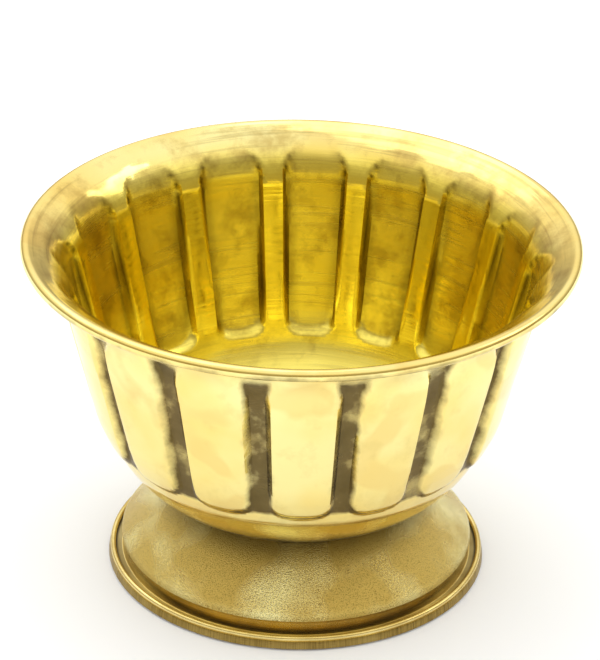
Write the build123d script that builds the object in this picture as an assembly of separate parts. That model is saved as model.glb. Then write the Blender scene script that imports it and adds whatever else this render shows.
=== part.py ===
from build123d import *
import os
from math import cos, radians, tan

# A fluted pedestal offering bowl in brass. A cup pressed from sheet, with lobes pushed outwards
# all round it, is soldered onto a flared foot, and the foot is soldered onto a turned base ring.
# Sizes are in millimetres and degrees. The bowl stands on z = 0 and its axis is the Z axis.

# Whole bowl
height = 49.1
rim_diameter = 76.0
floor_height = 10.2       # underside of the cup's flat floor above the table

# Cup
sheet = 0.8               # thickness of the brass sheet; the rim's hem is two sheets thick
lip_width = 4.9           # across, from the corner under the lip to the middle of the hem
lip_rise = 2.6            # the same, upwards
lip_bend = 5.0            # radius on the underside
belly_diameter = 52.2     # corner where the round bottom turns up into the wall
belly_rise = 10.0         # that corner above the floor
belly_bend = 8.0
floor_diameter = 39.2     # corner where the flat floor turns up into the round bottom
bottom_fullness = 0.95    # share of the bottom that its round takes up, between floor and belly

# Lobes
lobe_count = 16
lobe_depth = 1.2          # how far a lobe is pushed out of the wall
lobe_bend = 14.0          # radius where a lobe swells out of the bottom
lobe_side = 0.6           # thickness of the stretched sheet at a lobe's sides
groove_width = 2.6        # between two lobes, on the outside
lobe_lift = 0.3           # lowest point of a lobe above the belly's corner
lobe_reach = 0.5          # highest point of a lobe above the lip's corner
arch_rise = 4.7           # height of a lobe's arched top
toe_rise = 0.7            # height of a lobe's curved lower end

# Foot
foot_diameter = 48.8      # over the foot's turned-down edge
foot_slope = 43.0         # of the flare, from level
foot_sheet = 0.8
edge_height = 0.8         # corner between the flare and the turned-down edge, above the base ring
edge_bend = 1.2

# Base ring
ring_diameter = 52.5
ring_height = 3.3
foot_overhang = 0.1       # the foot's edge beyond the ring's top
ledge_inside = 1.1        # the ring's top inside the foot's edge, for the solder
cove_hollow = 0.1         # hollow of the ring's outer wall
skirt_height = 1.15
skirt_lean = 0.15         # the skirt's top stands this far in from its foot
bead_radius = 0.38
bead_setback = 0.45       # from the skirt's top in to the middle of the bead
bead_lift = 0.28          # middle of the bead above the skirt

# Solder seams
neck_seam = 0.7           # radius of the seam round the neck
base_seam = 0.8           # radius of the seam inside the foot

# Places that follow from these sizes, as (distance from the axis, height)
floor_middle = Vector(0, floor_height)
floor_corner = Vector(floor_diameter / 2, floor_height)
belly_corner = Vector(belly_diameter / 2, floor_height + belly_rise)
hem_middle = Vector(rim_diameter / 2 - sheet, height - sheet)
lip_corner = hem_middle - Vector(lip_width, lip_rise)
bottom_way = (belly_corner - floor_corner).normalized()
wall_way = (lip_corner - belly_corner).normalized()
edge_corner = Vector(foot_diameter / 2, ring_height + edge_height)
lobe_pitch = 360 / lobe_count


def beside(points, bends, distance):
    """A bent line beside the line through the points, on its outer side at a positive distance."""
    ways = [(end - start).normalized() for start, end in zip(points, points[1:])]
    sides = [Vector(way.Y, -way.X) for way in ways]
    moved = [points[0] + sides[0] * distance]
    radii = []
    for point, before, after, bend in zip(points[1:-1], sides, sides[1:], bends):
        moved.append(point + (before + after) * (distance / (1 + before.dot(after))))
        turns_inwards = before.cross(after).Z > 0
        radii.append(bend + distance if turns_inwards else bend - distance)
    moved.append(points[-1] + sides[-1] * distance)
    return FilletPolyline(moved, radius=radii)


def floor_bend():
    """The largest radius that the bottom's fullness allows, tangent to the floor and the bottom."""
    belly_turn = radians(bottom_way.get_angle(wall_way))
    floor_turn = radians(bottom_way.get_angle(Vector(1, 0)))
    room = (belly_corner - floor_corner).length - belly_bend * tan(belly_turn / 2)
    return bottom_fullness * room / tan(floor_turn / 2)


def cup_line(distance):
    """The cup's profile without its lobes, beside the outer face of the sheet."""
    points = [floor_middle, floor_corner, belly_corner, lip_corner, hem_middle]
    return beside(points, [floor_bend(), belly_bend, lip_bend], distance)


def lobe_line(distance):
    """The profile of a lobe, which swells out of the bottom and runs straight on up the wall."""
    swell = lobe_depth / bottom_way.cross(wall_way).Z
    lobe_corner = belly_corner + bottom_way * swell
    lobe_top = lobe_corner + wall_way * ((height - lobe_corner.Y) / wall_way.Y)
    points = [floor_middle, floor_corner, lobe_corner, lobe_top]
    return beside(points, [floor_bend(), lobe_bend], distance)


def inside_of(line):
    """The region between a profile line and the axis."""
    return make_face([*line.edges(), *Polyline(line @ 1, (0, (line @ 1).Y), line @ 0).edges()])


def between(outer, inner):
    """The strip between two profile lines that both start on the axis."""
    ends = [Line(outer @ 1, inner @ 1), Line(inner @ 0, outer @ 0)]
    return make_face([*outer.edges(), *inner.edges(), *ends])


def turned(profile):
    """A profile turned once about the bowl's axis."""
    return revolve(Plane.XZ * profile, Axis.Z)


def lobe_half_width(point_on_wall):
    """Half the width that the grooves leave to a lobe at a point of the wall."""
    half_pitch = radians(lobe_pitch / 2)
    return point_on_wall.X * tan(half_pitch) - groove_width / 2 / cos(half_pitch)


def lobe_outline():
    """Front view of one lobe: a curved toe, two straight sides and an arched top."""
    toe = belly_corner.Y + lobe_lift
    top = lip_corner.Y + lobe_reach
    toe_corner = belly_corner + wall_way * ((lobe_lift + toe_rise) / wall_way.Y)
    spring = lip_corner - wall_way * ((arch_rise - lobe_reach) / wall_way.Y)
    low = lobe_half_width(toe_corner)
    high = lobe_half_width(spring)
    edges = [
        ThreePointArc((-low, toe_corner.Y), (0, toe), (low, toe_corner.Y)),
        Line((low, toe_corner.Y), (high, spring.Y)),
        ThreePointArc((high, spring.Y), (0, top), (-high, spring.Y)),
        Line((-high, spring.Y), (-low, toe_corner.Y)),
    ]
    return make_face(edges)


def all_lobes(profile, outline):
    """Copies round the cup of what the outline, pushed outwards, takes from a turned profile."""
    push = extrude(Plane.YZ * outline, rim_diameter / 2)
    lobe = turned(profile) & push
    return [Rot(0, 0, (index + 0.5) * lobe_pitch) * lobe for index in range(lobe_count)]


def make_bowl_shell():
    """The pressed cup: a sheet of even thickness with lobes, a flared lip and a round hem."""
    hem = Pos(hem_middle) * Circle(sheet)
    cup = turned(between(cup_line(0), cup_line(-sheet)) + hem)
    outline = lobe_outline()
    outer_lobes = all_lobes(inside_of(lobe_line(0)) - inside_of(cup_line(-sheet / 2)), outline)
    hollow = inside_of(lobe_line(-sheet)) - inside_of(cup_line(-2 * sheet))
    lobe_hollows = all_lobes(hollow, offset(outline, -lobe_side))
    return cup + outer_lobes - lobe_hollows


def foot_line(distance):
    """The foot's profile from under the cup down to the ring, beside its outer face."""
    reach = edge_corner.X - floor_corner.X / 2
    start = edge_corner + Vector(-reach, reach * tan(radians(foot_slope)))
    return beside([start, edge_corner, Vector(edge_corner.X, ring_height)], [edge_bend], distance)


def foot_profile():
    """A flare of sheet with a turned-down edge, cut off where it meets the cup."""
    outer = foot_line(0)
    inner = foot_line(foot_sheet)
    ends = [Line(outer @ 0, inner @ 0), Line(outer @ 1, inner @ 1)]
    return make_face([*outer.edges(), *inner.edges(), *ends]) - inside_of(cup_line(0))


def ring_profile():
    """A ledge under the foot, a polished wall, a groove, a thin bead and a low skirt."""
    ledge_inner = edge_corner.X - foot_sheet - ledge_inside
    wall_outer = edge_corner.X - foot_overhang
    skirt_foot = ring_diameter / 2
    skirt_top = skirt_foot - skirt_lean
    wall = SagittaArc((wall_outer, skirt_height), (wall_outer, ring_height), -cove_hollow)
    outside = Polyline((ledge_inner, 0), (skirt_foot, 0), (skirt_top, skirt_height), wall @ 0)
    inside = Polyline(wall @ 1, (ledge_inner, ring_height), (ledge_inner, 0))
    section = make_face([*outside.edges(), *wall.edges(), *inside.edges()])
    bead = Pos(skirt_top - bead_setback, skirt_height + bead_lift) * Circle(bead_radius)
    return section + bead


def neck_seam_profile():
    """Solder in the outer corner between the cup and the foot."""
    neck = foot_profile().vertices().sort_by(Axis((0, 0, 0), (1, 1, 0)))
    neck = [point for point in neck if point.Y > edge_corner.Y + edge_bend][-1]
    flare = make_face(Polyline(foot_line(0) @ 0, edge_corner, (0, edge_corner.Y), close=True))
    return Pos(neck.X, neck.Y) * Circle(neck_seam) - inside_of(cup_line(0)) - flare


def base_seam_profile():
    """Solder in the corner between the foot's inner face and the ring's ledge."""
    corner = Vector(edge_corner.X - foot_sheet, ring_height)
    inner = foot_line(foot_sheet)
    inside = make_face([*inner.edges(), *Polyline(inner @ 1, (0, ring_height), inner @ 0).edges()])
    return (Pos(corner) * Circle(base_seam)) & inside


pieces = {
    "bowl_shell": make_bowl_shell(),
    "foot_dome": turned(foot_profile()),
    "base_ring": turned(ring_profile()),
    "neck_solder": turned(neck_seam_profile()),
    "base_solder": turned(base_seam_profile()),
}

os.makedirs("parts", exist_ok=True)
for name, piece in pieces.items():
    export_step(piece, f"parts/{name}.step")
    print(f"{name}: {len(piece.solids())} solid, {piece.volume:.1f} cubic millimetres")
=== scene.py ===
# %% [markdown]
# # A fluted brass offering bowl
# A small bowl for grain, flowers or water on a household altar. A smith presses the cup from
# sheet brass, pushes a ring of lobes out of its wall, and solders it onto a flared foot, which
# stands on a turned ring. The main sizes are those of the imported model, in millimetres. Here each
# piece is drawn again with the softness of pressed metal, and gets the surface of a used bowl.

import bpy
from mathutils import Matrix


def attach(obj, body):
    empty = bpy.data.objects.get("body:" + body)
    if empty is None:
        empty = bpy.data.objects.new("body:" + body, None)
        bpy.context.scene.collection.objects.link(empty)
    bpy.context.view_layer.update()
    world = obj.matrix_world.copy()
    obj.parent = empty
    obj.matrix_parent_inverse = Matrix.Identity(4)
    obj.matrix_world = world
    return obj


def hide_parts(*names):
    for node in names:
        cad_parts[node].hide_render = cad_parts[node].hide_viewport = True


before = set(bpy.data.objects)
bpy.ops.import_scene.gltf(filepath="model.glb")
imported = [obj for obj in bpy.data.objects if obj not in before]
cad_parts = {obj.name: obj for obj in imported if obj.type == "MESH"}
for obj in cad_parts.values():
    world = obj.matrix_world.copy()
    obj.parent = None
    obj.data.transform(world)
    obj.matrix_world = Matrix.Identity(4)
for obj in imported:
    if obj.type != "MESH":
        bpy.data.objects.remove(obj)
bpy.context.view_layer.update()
print("Nodes of the packed model:", sorted(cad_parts))

# %% [markdown]
# ## Half-sections
# Every piece of this bowl begins as a turned shape: a smith spins a disc of sheet over a wooden
# former, or cuts a ring on a lathe. A turned shape is known by its half-section, and these are
# straight runs joined by round bends. A curve object could draw them, but a few named corners
# and a radius for each are easier to read and to change, so a helper rounds the corners.

# %% Round the corners of a line
import numpy as np
from math import atan2, cos, pi, radians, sin, tan

SAME_SPOT = 1e-6


def unit(vector):
    """The vector at a length of one."""
    return vector / np.linalg.norm(vector)


def turned_by(vector, angle):
    """The vector turned to the left by an angle in radians."""
    return np.array([[cos(angle), -sin(angle)], [sin(angle), cos(angle)]]) @ vector


def rounded(points, bends, spacing):
    """Points along a line in millimetres whose inner corners are bends of the given radii."""
    corners = [np.array(point, float) for point in points]
    runs = [[corners[0]]]
    for before, corner, after, bend in zip(corners, corners[1:], corners[2:], bends):
        arrive = unit(corner - before)
        leave = unit(after - corner)
        turn = atan2(arrive[0] * leave[1] - arrive[1] * leave[0], arrive @ leave)
        start = corner - arrive * abs(bend * tan(turn / 2))
        middle = start + np.array([-arrive[1], arrive[0]]) * bend * np.sign(turn)
        runs[-1].append(start)
        angles = np.linspace(0, turn, max(3, int(abs(turn) * bend / spacing) + 2))
        runs.append([middle + turned_by(start - middle, angle) for angle in angles])
        runs.append([runs[-1][-1]])
    runs[-1].append(corners[-1])
    line = [corners[0]]
    for run in runs:
        for near, far in zip(run, run[1:]):
            count = max(1, round(np.linalg.norm(far - near) / spacing))
            line += [near + (far - near) * (step + 1) / count for step in range(count)]
    return [tuple(point) for place, point in enumerate(line)
            if place == 0 or np.linalg.norm(point - line[place - 1]) > SAME_SPOT]


print("A corner with a bend of 5 mm:", len(rounded([(0, 0), (9, 0), (9, 9)], [5], 1)), "points")

# %% Lines beside a line, and arcs


def beside(points, bends, distance):
    """The corners and bends of a line that runs at a distance to the right of another."""
    corners = [np.array(point, float) for point in points]
    ways = [unit(end - start) for start, end in zip(corners, corners[1:])]
    sides = [np.array([way[1], -way[0]]) for way in ways]
    moved = [corners[0] + sides[0] * distance]
    radii = []
    for corner, one, two, bend in zip(corners[1:], sides, sides[1:], bends):
        moved.append(corner + (one + two) * distance / (1 + one @ two))
        left_turn = one[0] * two[1] - one[1] * two[0] > 0
        radii.append(bend + distance if left_turn else bend - distance)
    moved.append(corners[-1] + sides[-1] * distance)
    return moved, radii


def round_about(middle, radius, start, end, count):
    """Points in millimetres on an arc about a middle, from one angle in degrees to another."""
    angles = [radians(start + (end - start) * step / count) for step in range(count + 1)]
    return [(middle[0] + radius * cos(angle), middle[1] + radius * sin(angle)) for angle in angles]


print("A quarter of a circle in three steps:", np.round(round_about((0, 0), 1, 0, 90, 3), 2).tolist())

# %% [markdown]
# ## Turning
# The lathe's work is done as on a lathe. One vertex is extruded along the half-section, point by
# point, and the section is spun about the axis. A screw modifier could turn it as well, but the
# spin leaves a plain mesh at once, whose vertices can then be moved and painted.

# %% Spin a half-section, and give a piece its place
import bpy

MM = 0.001
MERGE_REACH = 0.002 * MM
SHARP_FROM = radians(38)


def select_only(piece):
    """Makes a piece the only selected one, and the active one."""
    bpy.ops.object.select_all(action="DESELECT")
    piece.select_set(True)
    bpy.context.view_layer.objects.active = piece


def turned(name, outline, steps):
    """A new piece: a vertex extruded along a half-section, spun once about the axis."""
    bpy.ops.object.select_all(action="DESELECT")
    bpy.ops.mesh.primitive_plane_add(size=MM, location=(0, 0, 0))
    piece = bpy.context.object
    piece.name = name
    bpy.ops.object.mode_set(mode="EDIT")
    bpy.ops.mesh.select_all(action="SELECT")
    bpy.ops.mesh.merge(type="CENTER")
    bpy.ops.transform.translate(value=(outline[0][0] * MM, 0, outline[0][1] * MM))
    for near, far in zip(outline, outline[1:]):
        step = ((far[0] - near[0]) * MM, 0, (far[1] - near[1]) * MM)
        bpy.ops.mesh.extrude_region_move(TRANSFORM_OT_translate={"value": step})
    bpy.ops.mesh.select_all(action="SELECT")
    bpy.ops.mesh.spin(steps=steps, angle=2 * pi, center=(0, 0, 0), axis=(0, 0, 1))
    bpy.ops.mesh.select_all(action="SELECT")
    bpy.ops.mesh.remove_doubles(threshold=MERGE_REACH)
    bpy.ops.mesh.normals_make_consistent(inside=False)
    bpy.ops.object.mode_set(mode="OBJECT")
    return piece


def settle(piece, body, node):
    """Smooth shading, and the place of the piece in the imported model."""
    select_only(piece)
    bpy.ops.object.shade_smooth_by_angle(angle=SHARP_FROM)
    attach(piece, body)
    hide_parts(node)
    print(piece.name, "has", len(piece.data.vertices), "vertices")


# %% [markdown]
# ## The cup
# The cup is one sheet. Its outside runs from a flat floor through a round bottom to a wall that
# leans out, bends into a flared lip and ends in a hem, where the sheet's edge is folded over so
# that nobody is cut by it. The inside is the same line one sheet further in. A solidify modifier
# could add that thickness, but the hem is thicker than the sheet, so the half-section goes out
# along one face, round the hem, and back along the other.

# %% Spin the plain cup
SHEET = 0.8
LIP_CORNER = (32.3, 45.7)
HEM = (37.2, 48.3)
CUP_OUTSIDE = [(0, 10.2), (19.6, 10.2), (26.1, 20.2), LIP_CORNER, HEM]
CUP_BENDS = [17.0, 14.0, 8.5]
CUP_SPACING = 0.5
FLOOR_REACH = 14
DEGREES_UNDER_HEM = 140
DEGREES_OVER_HEM = 90
HEM_STEPS = 13
LOBES = 16
COLUMNS_PER_LOBE = 26


def fewer_on_floor(line):
    """The line with only every third point on the flat floor."""
    return [point for place, point in enumerate(line) if place % 3 == 0 or point[0] > FLOOR_REACH]


def nearest(line, point):
    """The place in a line of the point that is nearest to another."""
    return min(range(len(line)), key=lambda place: np.hypot(*np.subtract(line[place], point)))


outside = fewer_on_floor(rounded(CUP_OUTSIDE, CUP_BENDS, CUP_SPACING))
inside = fewer_on_floor(rounded(*beside(CUP_OUTSIDE, CUP_BENDS, -SHEET), CUP_SPACING))
lip_angle = np.degrees(atan2(HEM[1] - LIP_CORNER[1], HEM[0] - LIP_CORNER[0]))
hem_start = lip_angle - DEGREES_UNDER_HEM
hem = round_about(HEM, SHEET, hem_start, lip_angle + DEGREES_OVER_HEM, HEM_STEPS)
below_hem = outside[:nearest(outside, hem[0])]
bowl = turned("bowl", below_hem + hem + inside[::-1][1:], LOBES * COLUMNS_PER_LOBE)
print("Half-section:", len(below_hem), "outer,", len(hem), "hem and", len(inside), "inner points")

# %% [markdown]
# ## Columns for the lobes
# The wall turns sharply at the grooves and hardly at all on the lobes, so even columns would be
# too coarse in one place and wasted in the other. A bevel or more cuts could add columns at the
# grooves. Here the columns are slid together there instead, which costs no faces. The lobes were
# set out by eye, so they also drift a little round the axis.

# %% Crowd the columns at the grooves
CROWDING = 0.72
LOBE_DRIFT = radians(2.3)
NO_DRIFT_AT = radians(-10)


def places(piece):
    """Distance from the axis, angle about it and height of every vertex, in millimetres."""
    spots = np.empty(len(piece.data.vertices) * 3)
    piece.data.vertices.foreach_get("co", spots)
    spots = spots.reshape(-1, 3) / MM
    return np.hypot(spots[:, 0], spots[:, 1]), np.arctan2(spots[:, 1], spots[:, 0]), spots[:, 2]


far, angle, high = places(bowl)
angle = angle - CROWDING / LOBES * np.sin(LOBES * angle)
drifted = angle - LOBE_DRIFT * np.sin(angle - NO_DRIFT_AT)
spots = np.stack([far * np.cos(drifted), far * np.sin(drifted), high], 1) * MM
bowl.data.vertices.foreach_set("co", spots.ravel())
bowl.data.update()
print("Columns at a groove stand at", 1 - CROWDING, "of their even distance")

# %% [markdown]
# ## The lobes
# Each lobe is pushed out of the wall over a former: an upright panel with an arched top, a
# shallow curved toe and soft sides, so a narrow groove is left between two lobes outside and a
# ridge inside. Sculpting could do it, but sixteen lobes would not match. A weight is worked out
# for every vertex instead, one on a lobe and nought in a groove, and a displacement pushes the
# wall out by it. A lobe swells gently out of the round bottom and fades as gently into the lip,
# while its sides are crisp. No two lobes are pushed quite equally far.

# %% Find the lobes' edges
LOBE_SIDE = 0.6
GROOVE = 2.6
TOE = 20.5
TOE_RISE = 0.7
TOE_HALF_WIDTH = 3.9
TOE_CORNER = 1.6
INNER_ARCH_MIDDLE = 42.7
OUTER_ARCH_MIDDLE = 41.3
ARCH_RADIUS = 4.95
INNER_ARCH_STRETCH = 0.8
HALF_PITCH = pi / LOBES
JUST_ABOVE_FLOOR = 10.3
MID_SHEET = 0.42
LIP_INSIDE = 36.6
LIP_TOP = 46.6
LOBE_SEED = 16
DEPTH_SHARES = (0.88, 1.0)
SLIPS = (-0.14, 0.14)
TOP_SHIFTS = (-0.35, 0.25)


def soft_least(one, two, width):
    """The lesser of two distances, with the corner between them rounded off."""
    mix = np.clip(0.5 + (two - one) / (2 * width), 0, 1)
    return two + (one - two) * mix - width * mix * (1 - mix)


chance = np.random.default_rng(LOBE_SEED)
which = np.floor((angle % (2 * pi)) / (2 * HALF_PITCH)).astype(int) % LOBES
depth_share = chance.uniform(*DEPTH_SHARES, LOBES)[which]
slip = chance.uniform(*SLIPS, LOBES)[which]
top_shift = chance.uniform(*TOP_SHIFTS, LOBES)[which]

outer_line = np.array([point for point in outside if point[1] > JUST_ABOVE_FLOOR])
inner_face = far < np.interp(high, outer_line[:, 1], outer_line[:, 0]) - MID_SHEET
inner_face |= (high > LIP_TOP) & (far < LIP_INSIDE)
across = far * np.sin(angle % (2 * HALF_PITCH) - HALF_PITCH) + slip
side = far * tan(HALF_PITCH) - GROOVE / 2 / cos(HALF_PITCH) - np.abs(across)
arch_middle = np.where(inner_face, INNER_ARCH_MIDDLE, OUTER_ARCH_MIDDLE) + top_shift
stretch = np.where(inner_face, INNER_ARCH_STRETCH, 1.0)
arch = ARCH_RADIUS - np.hypot(across, stretch * (high - arch_middle))
toe = high - TOE - TOE_RISE * (across / TOE_HALF_WIDTH) ** 2
edge = soft_least(np.where(high > arch_middle, arch, side), toe, TOE_CORNER)
print("Vertices on the inner face:", int(inner_face.sum()), "of", len(far))

# %% Push the lobes out of the wall
LOBE_DEPTH = 1.2
SWELL_HEIGHTS = [19.4, 20.5, 22.0, 24.0, 25.8, 38.5, 40.5, 42.5, 44.5, 46.0, 47.2, 48.0]
SWELL_SHARES = [0.15, 0.25, 0.55, 0.88, 1.0, 1.0, 0.94, 0.79, 0.53, 0.28, 0.09, 0.0]
INNER_RAMP = 0.6
OUTER_RAMP = 1.0
RAMP_AT_TOP = 0.3
TOP_SPAN = 4.5
EDGE_SHIFT = 0.35
NO_WEIGHT = 0.001


def rise(value, start, span):
    """A smooth step from nought at the start to one at the end of the span."""
    share = np.clip((value - start) / span, 0, 1)
    return share * share * (3 - 2 * share)


def fall(value, end, span):
    """A smooth step from one at the beginning of the span to nought at its end."""
    return rise(-value, -end, span)


def push(piece, name, weights, strength):
    """Moves the vertices of a piece along their normals by weights."""
    group = piece.vertex_groups.new(name=name)
    for index in np.flatnonzero(weights > NO_WEIGHT):
        group.add([int(index)], float(weights[index]), "REPLACE")
    select_only(piece)
    shift = piece.modifiers.new(name, "DISPLACE")
    shift.vertex_group = name
    shift.mid_level = 0
    shift.strength = strength * MM
    bpy.ops.object.modifier_apply(modifier=name)
    piece.vertex_groups.remove(piece.vertex_groups[name])


ramp = np.where(inner_face, INNER_RAMP, OUTER_RAMP)
ramp = ramp + RAMP_AT_TOP * rise(high, INNER_ARCH_MIDDLE, TOP_SPAN)
swell = np.interp(high, SWELL_HEIGHTS, SWELL_SHARES) * depth_share
raised = rise(edge, np.where(inner_face, LOBE_SIDE, 0) - EDGE_SHIFT, ramp)
push(bowl, "outer_lobes", np.where(inner_face, 0, raised) * swell, LOBE_DEPTH)
push(bowl, "inner_lobes", np.where(inner_face, raised, 0) * swell, -LOBE_DEPTH)
print("Lobes pushed out by", depth_share.min() * LOBE_DEPTH, "to", depth_share.max() * LOBE_DEPTH, "mm")

# %% [markdown]
# ## Where the cup keeps its film and painted shade
# A polishing cloth runs over the lobes and misses the grooves, where a brown patina stays, painted
# darker still as a dark reflection. The same brown is painted as shade and dark reflection on the
# lobes' toes and flanks, at the neck and under the lip and the hem. Inside, painted shade runs along
# both edges of a ridge, and the ridges get a painted highlight. A material can't tell a groove from a
# lobe, so each vertex keeps these shares as attributes, which fit the shape better than a painted
# picture and need no unwrapping.

# %% Paint the film and the painted shade outside
# A start or an end is a place and the distance over which a share grows or fades.
HEM_START = 36.2
FILM_START = (TOE + 0.2, 1.0)
FILM_END = (45.6, 3.0)
TOE_END = (TOE + 2.4, 1.6)
NECK_END = (15.4, 2.4)
BOTTOM_END = (18.5, 3.0)
UNDER_LIP_START = (45.4, 2.0)
HEM_END = (48.75, 0.6)
GROOVE_EDGE = (-0.6, 1.15)
FLANK_EDGE = (-0.2, 2.0)
FLANK_REFLECTION_SHARE = 0.3
TOE_SHADE_SHARE = 1.7
NECK_SHADE_SHARE = 0.9
BOTTOM_SHADE_SHARE = 0.3
UNDER_LIP_SHADOW_SHARE = 0.4
HEM_SHADE_SHARE = 0.42


def paint(piece, name, values):
    """Keeps a value for each vertex of a piece, for its material to read."""
    kept = piece.data.attributes.new(name, "FLOAT", "POINT")
    kept.data.foreach_set("value", values.astype(np.float32))
    print(f"{piece.name} keeps {name}, {values.mean():.3f} on average")


slope = 4 * raised * (1 - raised)
zone = rise(high, *FILM_START) * fall(high, *FILM_END)
between = (1 - rise(edge, *GROOVE_EDGE)) * zone
# Painted dark reflection on the lobes' flanks beside the grooves.
flank_reflection = FLANK_REFLECTION_SHARE * (1 - rise(edge, *FLANK_EDGE)) * zone
# Painted shade in the step where each lobe's toe rises out of the wall.
toe_shade = TOE_SHADE_SHARE * slope * fall(high, *TOE_END)
# Painted shade on the cup's underside, darkest at the neck above the foot.
neck = NECK_SHADE_SHARE * fall(high, *NECK_END) + BOTTOM_SHADE_SHARE * fall(high, *BOTTOM_END)
# Painted shadow on the outer wall just under the lip.
shadow_under_lip = UNDER_LIP_SHADOW_SHARE * rise(high, *UNDER_LIP_START)
# The film is patina in the grooves, and painted shade and dark reflection everywhere else.
film_and_shade = np.clip(between + flank_reflection + toe_shade + neck + shadow_under_lip, 0, 1)
# The hem is painted darker towards its lower edge, as shade.
film_and_shade = np.where(far > HEM_START, HEM_SHADE_SHARE * fall(high, *HEM_END), film_and_shade)
# The groove share holds both the patina and the painted shade and dark reflection.
paint(bowl, "groove", np.where(inner_face & (far < HEM_START), 0, film_and_shade))

# %% Paint crease shade, ridge highlights and the lip inside
CREASE_START = (TOE + 0.5, 3.0)
CREASE_END = (46.8, 2.2)
CREASE_OFF_MIDDLE = (1.6, 1.6)
SHADE_WIDTH = (LOBE_SIDE, 2.0)
SHADE_END = (45.0, 3.0)
SHADE_SHARE = 0.5
RIDGE_START = (TOE, 2.0)
RIDGE_END = (45.5, 2.5)
WITHIN_END = (48.2, 3.6)
LIP_START = (45.5, 1.5)

# Painted shade along both sides of each ridge, and thin crease lines that are partly patina and partly
# painted shade.
shade = SHADE_SHARE * raised * (1 - rise(edge, *SHADE_WIDTH)) * fall(high, *SHADE_END)
line = slope ** 2 * rise(np.abs(across), *CREASE_OFF_MIDDLE) * fall(high, *CREASE_END)
line = np.maximum(line, shade) * rise(high, *CREASE_START)
# Painted highlight along the ridges inside.
ridge_highlight = (1 - raised) * rise(high, *RIDGE_START) * fall(high, *RIDGE_END)
paint(bowl, "crease_shade_and_patina", np.where(inner_face, line, 0))
paint(bowl, "ridge_highlight", np.where(inner_face, ridge_highlight, 0))
paint(bowl, "within", np.where(inner_face, fall(high, *WITHIN_END), 0))
paint(bowl, "lip", np.where(inner_face, rise(high, *LIP_START), 0))
settle(bowl, "root", "bowl_shell")

# %% [markdown]
# ## The foot
# The foot is a flare of the same sheet, spun over a cone and turned down at its edge. It is cut
# off where it meets the round bottom of the cup. A cone primitive would be quicker, but the flare
# is faintly domed and its edge is round, so it is spun from a half-section like the cup.

# %% Spin the foot
FOOT_EDGE = 24.4
FOOT_BOTTOM = 3.3
FOOT_LINE = [(16.35, 11.62), (21.1, 7.4), (FOOT_EDGE, 4.12), (FOOT_EDGE, FOOT_BOTTOM)]
FOOT_BENDS = [30.0, 1.3]
FOOT_SPACING = 0.35
TURN_STEPS = 320
foot_outside = rounded(FOOT_LINE, FOOT_BENDS, FOOT_SPACING)
foot_inside = rounded(*beside(FOOT_LINE, FOOT_BENDS, SHEET), FOOT_SPACING)
foot = turned("foot", foot_outside + foot_inside[::-1] + foot_outside[:1], TURN_STEPS)
settle(foot, "root", "foot_dome")

# %% [markdown]
# ## The base ring
# The ring is cut on a lathe. From the top it has a ledge that the foot stands on, a smooth
# hollow wall, a narrow channel that is painted dark as shade with some dirt and polish, one thin
# bead, and a low skirt that was only roughly finished. A torus and cylinders could be joined, but
# one half-section gives the ring clean corners all round. Its channel and skirt are marked for the
# material.

# %% Spin the base ring
RING_EDGE = 26.25
RING_INSIDE = 22.5
BROKEN_EDGE = 0.12
SKIRT_TOP = 1.15
BEAD = (25.65, 1.43)
BEAD_RADIUS = 0.38
BEAD_ARC = (-45, 225)
BEAD_STEPS = 14
bead = round_about(BEAD, BEAD_RADIUS, *BEAD_ARC, BEAD_STEPS)
skirt = [(RING_INSIDE, BROKEN_EDGE), (RING_INSIDE + BROKEN_EDGE, 0), (RING_EDGE - BROKEN_EDGE, 0),
         (RING_EDGE, BROKEN_EDGE), (RING_EDGE - 0.13, 1.0)]
shoulder = [(RING_EDGE - 0.2, 1.13), (RING_EDGE - 0.3, SKIRT_TOP)]
floor = [(25.2, SKIRT_TOP), (24.9, SKIRT_TOP), (24.5, SKIRT_TOP)]
wall = [(24.3, 1.2), (24.26, 1.35), (24.21, 1.8), (24.2, 2.2), (24.21, 2.7), (24.26, 3.15)]
ledge = [(24.3, FOOT_BOTTOM), (RING_INSIDE, FOOT_BOTTOM), skirt[0]]
ring = turned("ring", skirt + shoulder + bead + floor + wall + ledge, TURN_STEPS)
print("The ring's bead has", len(bead), "points")

# %% Mark the ring's channel and skirt
CHANNEL_FAR = (24.35, 25.45)
CHANNEL_HIGH = (1.0, 1.3)
UNDER_BEAD = 25.0
OPEN_CHANNEL_SHARE = 0.6
SKIRT_FACE = (26.0, 1.16)


def inside_of(values, limits):
    """Which values lie between two limits."""
    return (values > limits[0]) & (values < limits[1])


far, angle, high = places(ring)
channel = inside_of(far, CHANNEL_FAR) & inside_of(high, CHANNEL_HIGH)
# The channel is painted dark, as shade with some dirt, darkest under the bead.
paint(ring, "groove", channel * np.where(far > UNDER_BEAD, 1.0, OPEN_CHANNEL_SHARE))
paint(ring, "skirt", ((far > SKIRT_FACE[0]) & (high < SKIRT_FACE[1])).astype(float))
settle(ring, "root", "base_ring")

# %% [markdown]
# ## The solder
# Two seams hold the bowl together: one round the neck, in the corner between the cup and the
# foot, and one inside the foot, above the ring's ledge. A bead of even thickness would look like
# a gasket. Solder runs unevenly, so each seam is spun as a small round and then swollen and
# pinched a little along its length.

# %% Spin the seams
NECK = (16.4, 11.55)
NECK_RADIUS = 0.52
NECK_ARC = (-43, 31)
BASE_CORNER = (FOOT_EDGE - SHEET, FOOT_BOTTOM)
BASE_RADIUS = 0.7
BASE_ARC = (90, 180)
SEAM_STEPS = 7
WAVES = (5, 9, 14, 23, 37, 52)


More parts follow.
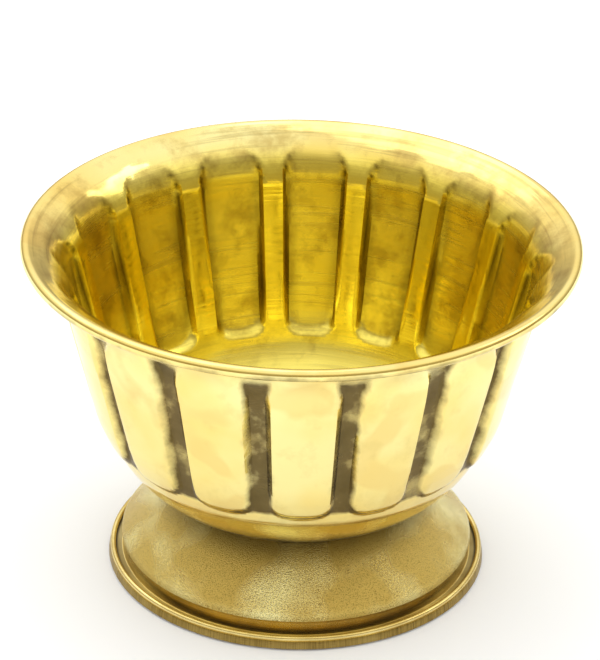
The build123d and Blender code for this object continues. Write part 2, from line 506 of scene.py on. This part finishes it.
def uneven(piece, seed, strength):
    """Swells a seam by a few waves whose heights and places are picked once for this seam."""
    pick = np.random.default_rng(seed)
    turn = places(piece)[1]
    waves = sum(pick.uniform(0.2, 1) * np.sin(count * turn + pick.uniform(0, 6.3)) for count in WAVES)
    push(piece, "run", np.clip(0.5 + waves / 5, 0, 1), strength)


neck_round = round_about(NECK, NECK_RADIUS, *NECK_ARC, SEAM_STEPS)
neck_seam = turned("neck_seam", neck_round + [NECK, neck_round[0]], TURN_STEPS)
uneven(neck_seam, seed=3, strength=0.16)
settle(neck_seam, "root", "neck_solder")
base_round = round_about(BASE_CORNER, BASE_RADIUS, *BASE_ARC, SEAM_STEPS)
base_seam = turned("base_seam", base_round + [BASE_CORNER, base_round[0]], TURN_STEPS)
uneven(base_seam, seed=4, strength=0.1)
settle(base_seam, "root", "base_solder")

# %% [markdown]
# ## Brass
# Brass is copper and zinc, yellow where it is rubbed and brown where air and old polish stay on
# it. All the surfaces use the same few steps: a colour that drifts in soft clouds, fine scratches
# that run round the bowl as a cloth is turned in it, dents too shallow to see except in the
# reflections, and a brown film where a cloth does not reach, which in places is painted shade and
# dark reflection as well. Angles about the axis are worked out in the material itself, so that the
# scratches follow the turning. A class keeps the steps short.

# %% Helper for materials


class Surface:
    """A metal material whose nodes are added one after another."""

    def __init__(self, name):
        self.material = bpy.data.materials.new(name)
        self.material.use_nodes = True
        self.nodes = self.material.node_tree.nodes
        self.links = self.material.node_tree.links
        self.shader = self.nodes["Principled BSDF"]
        self.shader.inputs["Metallic"].default_value = 1.0
        self.spot = self.add("ShaderNodeTexCoord").outputs["Object"]
        self.parts = self.add("ShaderNodeSeparateXYZ", {0: self.spot}).outputs
        self.turn = self.math("ARCTAN2", self.parts[1], self.parts[0])

    def add(self, kind, inputs=None, **settings):
        """A new node with settings, and each named input linked to a socket or set to a value."""
        made = self.nodes.new(kind)
        for name, value in settings.items():
            setattr(made, name, value)
        for name, value in (inputs or {}).items():
            if isinstance(value, bpy.types.NodeSocket):
                self.links.new(value, made.inputs[name])
            else:
                made.inputs[name].default_value = value
        return made

    def math(self, operation, one, two=0.0):
        """The outcome of a sum on one or two values."""
        return self.add("ShaderNodeMath", {0: one, 1: two}, operation=operation).outputs[0]

    def plus(self, one, two):
        """Two values added."""
        return self.math("ADD", one, two)

    def times(self, one, two):
        """Two values multiplied."""
        return self.math("MULTIPLY", one, two)

    def mix(self, share, one, two):
        """A colour between two others."""
        return self.add("ShaderNodeMix", {0: share, 6: one, 7: two}, data_type="RGBA").outputs[2]

    def span(self, value, low, high, start, end):
        """Maps a value from one span to another, without leaving it."""
        names = {"Value": value, "From Min": low, "From Max": high, "To Min": start, "To Max": end}
        return self.add("ShaderNodeMapRange", names).outputs[0]

    def noise(self, where, scale, detail=3.0, rough=0.5):
        """Soft noise between nought and one."""
        names = {"Vector": where, "Scale": scale, "Detail": detail, "Roughness": rough}
        return self.add("ShaderNodeTexNoise", names).outputs["Fac"]

    def painted(self, name):
        """A share that the vertices keep."""
        return self.add("ShaderNodeAttribute", attribute_name=name).outputs["Fac"]

    def round_spot(self, around, up):
        """The place as way round the axis and way along the surface, each with its own scale."""
        squares = [self.math("POWER", part, 2.0) for part in self.parts[:2]]
        reach = self.math("SQRT", self.plus(*squares))
        names = {0: self.times(self.turn, 0.03 * around), 1: self.times(self.parts[2], up),
                 2: self.times(reach, up)}
        return self.add("ShaderNodeCombineXYZ", names).outputs[0]

    def bump(self, height, strength, distance, normal=None):
        """Fine relief, on top of other relief where that is given."""
        names = {"Height": height, "Strength": strength, "Distance": distance}
        if normal is not None:
            names["Normal"] = normal
        return self.add("ShaderNodeBump", names).outputs[0]

    def finish(self, pieces, colour, roughness, normal):
        """Links the outcome to the shader and gives the material to the pieces."""
        for name, value in (("Base Color", colour), ("Roughness", roughness), ("Normal", normal)):
            self.links.new(value, self.shader.inputs[name])
        for piece in pieces:
            piece.data.materials.clear()
            piece.data.materials.append(self.material)
        print(self.material.name, "has", len(self.nodes), "nodes")


# %% [markdown]
# ## The cup's surface
# Outside, the lobes are rubbed bright and the grooves between them are brown, with patina and
# painted dark reflection. Inside, the metal is painted a deeper yellow, which stands in for light
# bounced round the bowl, with cloudy stains, painted shade on both sides of every ridge and a painted
# highlight along it, and the lip is scuffed by what was laid on it. Two materials would meet in a
# hard line at the lip, so one material mixes all of these by the shares that the vertices keep.

# %% Bright brass outside
BRIGHT = (0.97, 0.85, 0.36, 1)
DEEP = (0.95, 0.72, 0.21, 1)
TAN = (0.88, 0.66, 0.22, 1)
STAIN = (0.66, 0.50, 0.15, 1)
cup = Surface("polished_brass_cup")
clouds = cup.noise(cup.spot, 75.0, 3.0, 0.5)
stains = cup.noise(cup.spot, 170.0, 5.0, 0.65)
patches = cup.noise(cup.spot, 95.0, 2.0, 0.4)
colour = cup.mix(cup.span(clouds, 0.38, 0.68, 0.0, 0.8), BRIGHT, DEEP)
colour = cup.mix(cup.span(patches, 0.55, 0.59, 0.0, 0.6), colour, TAN)
colour = cup.mix(cup.span(stains, 0.54, 0.74, 0.0, 0.4), colour, STAIN)
print("Nodes for the outside:", len(cup.nodes))

# %% Deeper brass inside, painted with bounced light and highlights
BOUNCED_YELLOW = (1.0, 0.88, 0.20, 1)
BOUNCED_OLD_YELLOW = (0.84, 0.68, 0.10, 1)
INNER_STAIN = (0.42, 0.30, 0.04, 1)
RUBBED = (0.36, 0.26, 0.04, 1)
RIDGE_HIGHLIGHT_YELLOW = (1.0, 0.84, 0.13, 1)
FLOOR_HIGHLIGHT_YELLOW = (1.0, 0.92, 0.26, 1)
ridge_highlight = cup.painted("ridge_highlight")
within = cup.painted("within")
rubs = cup.noise(cup.round_spot(60.0, 1500.0), 1.0, 2.0)
# Inside, a deeper yellow is painted, which stands in for light bounced round the bowl.
deep = cup.mix(cup.span(clouds, 0.35, 0.65, 0.0, 1.0), BOUNCED_YELLOW, BOUNCED_OLD_YELLOW)
deep = cup.mix(cup.span(stains, 0.48, 0.66, 0.0, 0.7), deep, INNER_STAIN)
deep = cup.mix(cup.span(rubs, 0.52, 0.70, 0.0, 0.35), deep, RUBBED)
# Painted highlight: the ridges are mixed towards a brighter yellow.
deep = cup.mix(cup.times(ridge_highlight, 0.85), deep, RIDGE_HIGHLIGHT_YELLOW)
# Painted highlight: the bottom inside is lighter below a height of 15 to 20 mm.
deep = cup.mix(cup.span(cup.parts[2], 0.015, 0.020, 0.75, 0.0), deep, FLOOR_HIGHLIGHT_YELLOW)
colour = cup.mix(within, colour, deep)
print("Nodes with the inside:", len(cup.nodes))

# %% Scuffs on the lip, film and painted shade in the grooves, painted shade in the creases
WORN = (0.58, 0.41, 0.12, 1)
SCUFF = (0.36, 0.25, 0.07, 1)
DARK_FILM_AND_SHADE = (0.09, 0.058, 0.018, 1)
THIN_FILM_AND_SHADE = (0.24, 0.17, 0.07, 1)
CREASE_SHADE_AND_PATINA = (0.10, 0.07, 0.012, 1)
lip = cup.painted("lip")
groove = cup.painted("groove")
scuffs = cup.noise(cup.round_spot(40.0, 900.0), 1.0, 3.0, 0.6)
mottle = cup.noise(cup.spot, 230.0, 4.0, 0.55)
colour = cup.mix(cup.times(lip, cup.span(stains, 0.46, 0.66, 0.0, 0.6)), colour, WORN)
colour = cup.mix(cup.times(lip, cup.span(scuffs, 0.54, 0.68, 0.0, 0.5)), colour, SCUFF)
ragged = cup.plus(groove, cup.span(mottle, 0.3, 0.7, -0.42, 0.2))
# Brown film: patina in the grooves, and painted shade and dark reflection under the lip, at the neck
# and on toes and flanks.
film_and_shade = cup.times(cup.span(ragged, 0.15, 0.85, 0.0, 0.95), cup.span(groove, 0.0, 0.3, 0.0, 1.0))
film_and_shade_colour = cup.mix(cup.span(mottle, 0.4, 0.65, 0.35, 0.0), DARK_FILM_AND_SHADE, THIN_FILM_AND_SHADE)
colour = cup.mix(film_and_shade, colour, film_and_shade_colour)
# Painted shade along the ridges, with a little patina in the creases.
colour = cup.mix(cup.times(cup.painted("crease_shade_and_patina"), 0.92), colour, CREASE_SHADE_AND_PATINA)
print("Nodes with the dirt:", len(cup.nodes))

# %% Gloss, dents and scratches on the cup
panel = cup.times(within, cup.math("SUBTRACT", 1.0, ridge_highlight))
roughness = cup.span(clouds, 0.3, 0.7, 0.07, 0.13)
roughness = cup.plus(roughness, cup.times(panel, 0.11))
roughness = cup.plus(roughness, cup.times(film_and_shade, 0.2))
roughness = cup.plus(roughness, cup.span(rubs, 0.4, 0.7, 0.0, 0.08))
dents = cup.bump(cup.noise(cup.spot, 110.0, 2.0), 0.12, 0.0012)
scratched = cup.bump(rubs, 0.10, 0.0002, dents)
cup.finish([bowl], colour, roughness, scratched)

# %% [markdown]
# ## The foot's surface
# Scouring with sand leaves a fine even grain: tiny dark pits in yellow metal, with broad dull
# patches, and a painted dark reflection that darkens one side more. The foot is painted darkest under
# the cup, as shade. The grain is far too fine to model, so it is noise in the colour and the relief.

# %% Satin brass on the foot
DARK_REFLECTION_SIDE = radians(122)
SATIN = (1.0, 0.94, 0.48, 1)
DARK_PATCH_AND_REFLECTION = (0.70, 0.53, 0.15, 1)
SHADE_UNDER_CUP = (0.09, 0.06, 0.012, 1)
PIT = (0.20, 0.13, 0.025, 1)
satin = Surface("satin_brass_foot")
grain = satin.noise(satin.spot, 7000.0, 2.0, 0.5)
# Painted dark reflection on one side of the foot, mixed with random dull patches.
dark_reflection_side = satin.math("COSINE", satin.plus(satin.turn, DARK_REFLECTION_SIDE))
patches = satin.plus(satin.noise(satin.spot, 85.0, 2.0, 0.5), satin.times(dark_reflection_side, 0.11))
colour = satin.mix(satin.span(patches, 0.40, 0.64, 0.0, 1.0), SATIN, DARK_PATCH_AND_REFLECTION)
# Painted shade under the cup: the foot is darker towards its top.
colour = satin.mix(satin.span(satin.parts[2], 0.0085, 0.0117, 0.0, 0.9), colour, SHADE_UNDER_CUP)
colour = satin.mix(satin.span(grain, 0.52, 0.64, 0.0, 0.6), colour, PIT)
roughness = satin.span(patches, 0.3, 0.7, 0.18, 0.30)
satin.finish([foot], colour, roughness, satin.bump(grain, 0.8, 0.0002))

# %% [markdown]
# ## The ring's surface
# The hollow wall and the bead are still bright from the lathe. The channel is painted dark, as
# shade with some dirt, and the skirt is dull and keeps short upright marks from the file. The marks
# are noise that is stretched along the height, and the lathe's lines are noise that is stretched
# round the axis.

# %% Turned brass on the ring
TURNED = (0.95, 0.80, 0.36, 1)
TURNED_DULL = (0.66, 0.51, 0.18, 1)
FILED = (0.33, 0.22, 0.05, 1)
FILE_MARK = (0.12, 0.075, 0.02, 1)
CHANNEL_DIRT_AND_SHADE = (0.05, 0.035, 0.02, 1)
lathe = Surface("polished_brass_ring")
clouds = lathe.noise(lathe.spot, 120.0, 4.0, 0.6)
lines = lathe.noise(lathe.round_spot(25.0, 9000.0), 1.0, 2.0)
marks = lathe.noise(lathe.round_spot(5200.0, 220.0), 1.0, 3.0, 0.6)
channel_dirt_and_shade = lathe.painted("groove")
filed = lathe.painted("skirt")
wear = lathe.times(filed, lathe.span(marks, 0.42, 0.66, 0.0, 0.85))
wear = lathe.times(wear, lathe.span(clouds, 0.35, 0.6, 0.4, 1.0))
colour = lathe.mix(lathe.span(clouds, 0.35, 0.65, 0.0, 1.0), TURNED, TURNED_DULL)
colour = lathe.mix(lathe.times(filed, 0.85), colour, FILED)
colour = lathe.mix(wear, colour, FILE_MARK)
# Painted shade with some dirt in the channel.
colour = lathe.mix(lathe.times(channel_dirt_and_shade, 0.95), colour, CHANNEL_DIRT_AND_SHADE)
roughness = lathe.plus(lathe.span(clouds, 0.3, 0.7, 0.15, 0.25), lathe.times(filed, 0.15))
roughness = lathe.plus(roughness, lathe.times(channel_dirt_and_shade, 0.3))
normal = lathe.bump(lines, 0.06, 0.0002, lathe.bump(marks, 0.1, 0.0002))
lathe.finish([ring], colour, roughness, normal)

# %% [markdown]
# ## The solder's surface
# Brazing solder is paler than brass where it is clean, and brown and pitted where it is not. Two
# noises are enough for so thin a line: one picks the clean places, the other makes the pits.

# %% Rough solder on the seams
OLD_SOLDER = (0.06, 0.04, 0.015, 1)
CLEAN_SOLDER = (0.85, 0.70, 0.35, 1)
seam = Surface("solder_seam")
pits = seam.noise(seam.spot, 1500.0, 4.0, 0.65)
patches = seam.noise(seam.spot, 260.0, 3.0, 0.6)
colour = seam.mix(seam.span(patches, 0.5, 0.62, 0.0, 1.0), OLD_SOLDER, CLEAN_SOLDER)
roughness = seam.span(pits, 0.3, 0.7, 0.30, 0.55)
seam.finish([neck_seam, base_seam], colour, roughness, seam.bump(pits, 0.6, 0.0003))

# %% [markdown]
# ## Table
# The bowl stands on a white table with little shine. It is wide enough for the lobes to mirror
# nothing else, and it lies a hair under the bowl, so that the two don't flicker where they meet.

# %% Lay the table
TABLE_SIZE = 6.0
TABLE_TOP = -0.0002
bpy.ops.object.select_all(action="DESELECT")
bpy.ops.mesh.primitive_plane_add(size=TABLE_SIZE, location=(0, 0, TABLE_TOP))
table = bpy.context.object
table.name = "table"
white = bpy.data.materials.new("white_table")
white.use_nodes = True
shader = white.node_tree.nodes["Principled BSDF"].inputs
shader["Base Color"].default_value = (0.93, 0.94, 0.96, 1)
shader["Roughness"].default_value = 0.7
shader["Specular IOR Level"].default_value = 0.1
table.data.materials.append(white)
print("The table is", TABLE_SIZE, "m wide")

# %% [markdown]
# ## Room
# Bright metal shows what is round it, so the room is part of the look. Real walls and a ceiling
# could be built, but a sky of a few greys is easier to tune. The camera sees plain white, the
# table is lit by an even light, and only mirrors see the sky: bright overhead, and dimmer and
# warmer towards the horizon, which gives the metal its darker tones.

# %% Light the room
SKY = [(0.0, 0.42), (0.3, 0.46), (0.44, 0.65), (0.56, 1.0), (0.66, 1.1), (1.0, 1.12)]
SKY_WAY = (0.0, 0.2, 1.0)
HORIZON_TINT = (1.0, 0.80, 0.40)
WHITE = (1, 1, 1, 1)
SOFT_LIGHT = 1.25
room = bpy.data.worlds.new("white_room")
bpy.context.scene.world = room
room.use_nodes = True
nodes = room.node_tree.nodes
links = room.node_tree.links
nodes.clear()


def light(strength):
    """A white light from all round."""
    made = nodes.new("ShaderNodeBackground")
    made.inputs["Color"].default_value = WHITE
    made.inputs["Strength"].default_value = strength
    return made


def choose(share, one, two):
    """One light where the share is nought and the other where it is one."""
    made = nodes.new("ShaderNodeMixShader")
    for place, socket in enumerate((share, one, two)):
        links.new(socket, made.inputs[place])
    return made.outputs[0]


lean = nodes.new("ShaderNodeVectorMath")
lean.operation = "DOT_PRODUCT"
links.new(nodes.new("ShaderNodeTexCoord").outputs["Generated"], lean.inputs[0])
lean.inputs[1].default_value = SKY_WAY
sky = nodes.new("ShaderNodeValToRGB")
links.new(lean.outputs["Value"], sky.inputs[0])
for place, grey in SKY[1:-1]:
    sky.color_ramp.elements.new(place)
for element, (place, grey) in zip(sky.color_ramp.elements, SKY):
    element.position = place
    element.color = [grey * (tint + (1 - tint) * place) for tint in HORIZON_TINT] + [1]
mirrored = light(1.0)
links.new(sky.outputs[0], mirrored.inputs["Color"])
rays = nodes.new("ShaderNodeLightPath").outputs
lit = choose(rays["Is Glossy Ray"], light(SOFT_LIGHT).outputs[0], mirrored.outputs[0])
seen = choose(rays["Is Camera Ray"], lit, light(1.0).outputs[0])
links.new(seen, nodes.new("ShaderNodeOutputWorld").inputs["Surface"])
print("The sky has", len(sky.color_ramp.elements), "greys")

# %% [markdown]
# ## Lamps
# A sky alone lights the bowl evenly and flatly. A sun would make hard shadows, so two broad lamps
# add a soft shadow and some sparkle: a large one above and behind, and a small one on the right.

# %% Hang the lamps
from mathutils import Matrix, Vector

LAMP_AIM = Vector((0, 0, 0.03))


def softbox(name, place, width, power):
    """A broad square lamp at a place in metres, turned towards the bowl."""
    bpy.ops.object.select_all(action="DESELECT")
    bpy.ops.object.light_add(type="AREA", location=place)
    lamp = bpy.context.object
    lamp.name = name
    lamp.data.shape = "RECTANGLE"
    lamp.data.size = width
    lamp.data.size_y = width
    lamp.data.energy = power
    lamp.rotation_euler = (LAMP_AIM - Vector(place)).to_track_quat("-Z", "Y").to_euler()


softbox("key", (-0.3, 0.45, 1.0), 0.9, 2.0)
softbox("fill", (0.85, 0.1, 0.7), 0.4, 0.7)

# %% [markdown]
# ## Camera
# The photograph was taken from above the rim, from about half a metre away, and tilted by a
# degree. A camera could be placed by eye, but its place and lens decide the shape of every curve,
# so they come from fitting the rim, the foot and the bead.

# %% Set up the camera
AZIMUTH = radians(-10.3)
ELEVATION = radians(28.22)
DISTANCE = 0.5291
TILT = radians(1.15)
AIM = Vector((0, 0, 0.0349))
SENSOR = 36.0
LENS = 232.4
NEAREST = 0.01
towards = Vector((-sin(AZIMUTH) * cos(ELEVATION), cos(AZIMUTH) * cos(ELEVATION), -sin(ELEVATION)))
level = Vector((cos(AZIMUTH), sin(AZIMUTH), 0))
upright = level.cross(towards)
right = cos(TILT) * level + sin(TILT) * upright
above = cos(TILT) * upright - sin(TILT) * level
bpy.ops.object.select_all(action="DESELECT")
bpy.ops.object.camera_add()
camera = bpy.context.object
camera.name = "camera"
stance = Matrix((right, above, -towards)).transposed().to_4x4()
camera.matrix_world = Matrix.Translation(AIM - towards * DISTANCE) @ stance
camera.data.sensor_fit = "HORIZONTAL"
camera.data.sensor_width = SENSOR
camera.data.lens = LENS
camera.data.clip_start = NEAREST
bpy.context.scene.camera = camera
bpy.context.scene.view_settings.view_transform = "Standard"
print("Camera at", [round(value, 4) for value in camera.location])
